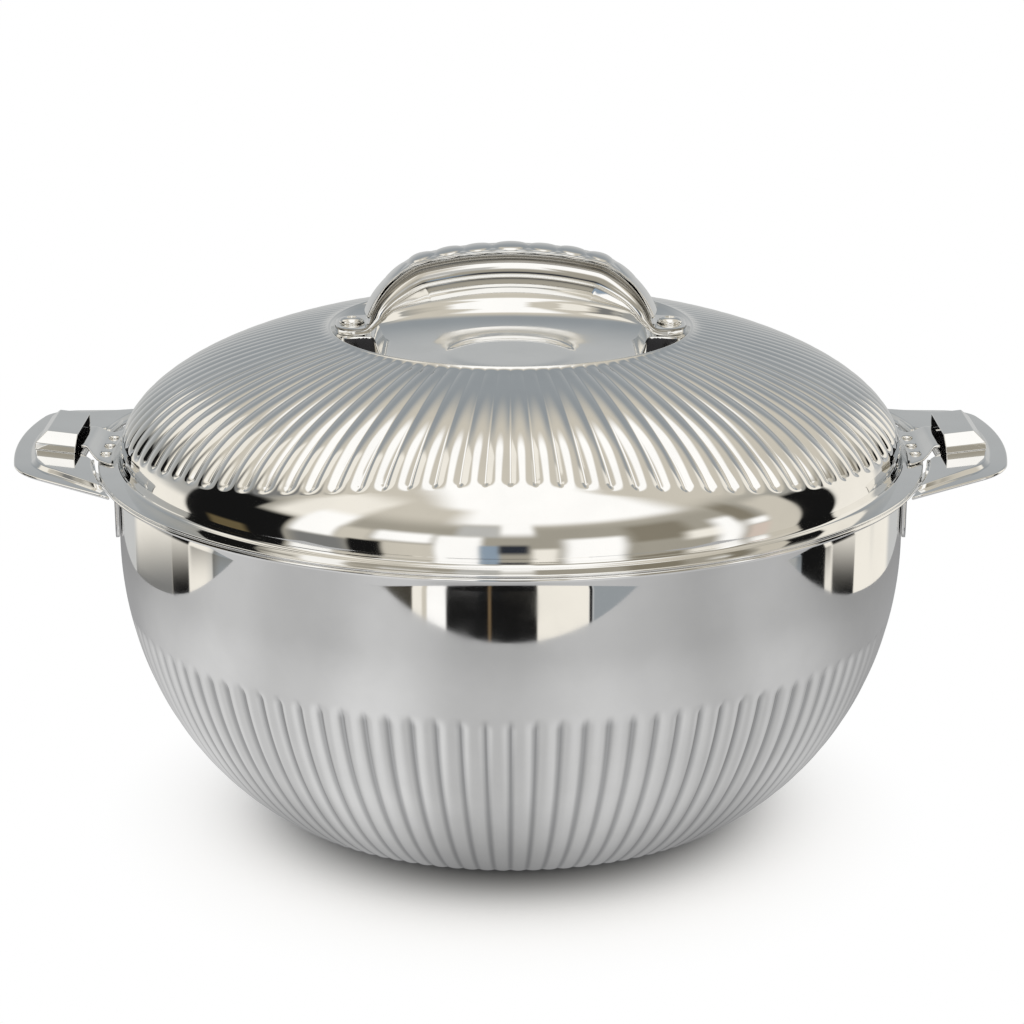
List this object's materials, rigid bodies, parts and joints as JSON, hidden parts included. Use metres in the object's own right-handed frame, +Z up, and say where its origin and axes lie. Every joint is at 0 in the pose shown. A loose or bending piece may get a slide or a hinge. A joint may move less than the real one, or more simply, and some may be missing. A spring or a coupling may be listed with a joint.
{
  "type": "insulated serving casserole",
  "caption": "Round insulated serving pot in polished steel with fluted shell and domed lid, arched lid strap, and side handles with sliding caps that lock over tongues on the lid.",
  "frame": {"origin": "centre of the overall box on the surface the pot stands on", "axes": "+X through the right side handle, +Z up"},
  "size_m": [0.3596, 0.3, 0.204],
  "materials": {
    "polished_steel": "mirror-polished stainless steel",
    "satin_steel": "fine satin stainless steel",
    "foam": "rigid foam, closed in",
    "foot_plastic": "smooth matt plastic"
  },
  "bodies": {
    "pot": {"outer_shell": "polished_steel", "inner_bowl": "satin_steel", "body_insulation": "foam", "base_cover": "satin_steel", "foot_ring": "foot_plastic", "left_handle": "polished_steel", "right_handle": "polished_steel"},
    "lid": {"lid_outer_shell": "polished_steel", "lid_inner_shell": "satin_steel", "lid_insulation": "foam", "lid_handle_strap": "polished_steel", "lid_handle_cover": "polished_steel", "left_strap_screw": "polished_steel", "right_strap_screw": "polished_steel", "left_strap_nut": "satin_steel", "right_strap_nut": "satin_steel", "left_tongue": "polished_steel", "right_tongue": "polished_steel", "left_tongue_rivet_1": "polished_steel", "left_tongue_rivet_2": "polished_steel", "left_tongue_rivet_3": "polished_steel", "right_tongue_rivet_1": "polished_steel", "right_tongue_rivet_2": "polished_steel", "right_tongue_rivet_3": "polished_steel"},
    "left_lock": {"left_lock_cap": "polished_steel", "left_lock_keeper": "satin_steel"},
    "right_lock": {"right_lock_cap": "polished_steel", "right_lock_keeper": "satin_steel"}
  },
  "joints": [
    {"name": "lid_lift", "type": "slide", "parent": "pot", "child": "lid", "axis": [0, 0, 1], "range_m": [0, 0.12]},
    {"name": "left_lock_slide", "type": "slide", "parent": "pot", "child": "left_lock", "axis": [0.9929, 0, -0.1191], "range_m": [0, 0.006]},
    {"name": "right_lock_slide", "type": "slide", "parent": "pot", "child": "right_lock", "axis": [-0.9929, 0, -0.1191], "range_m": [0, 0.006]}
  ]
}
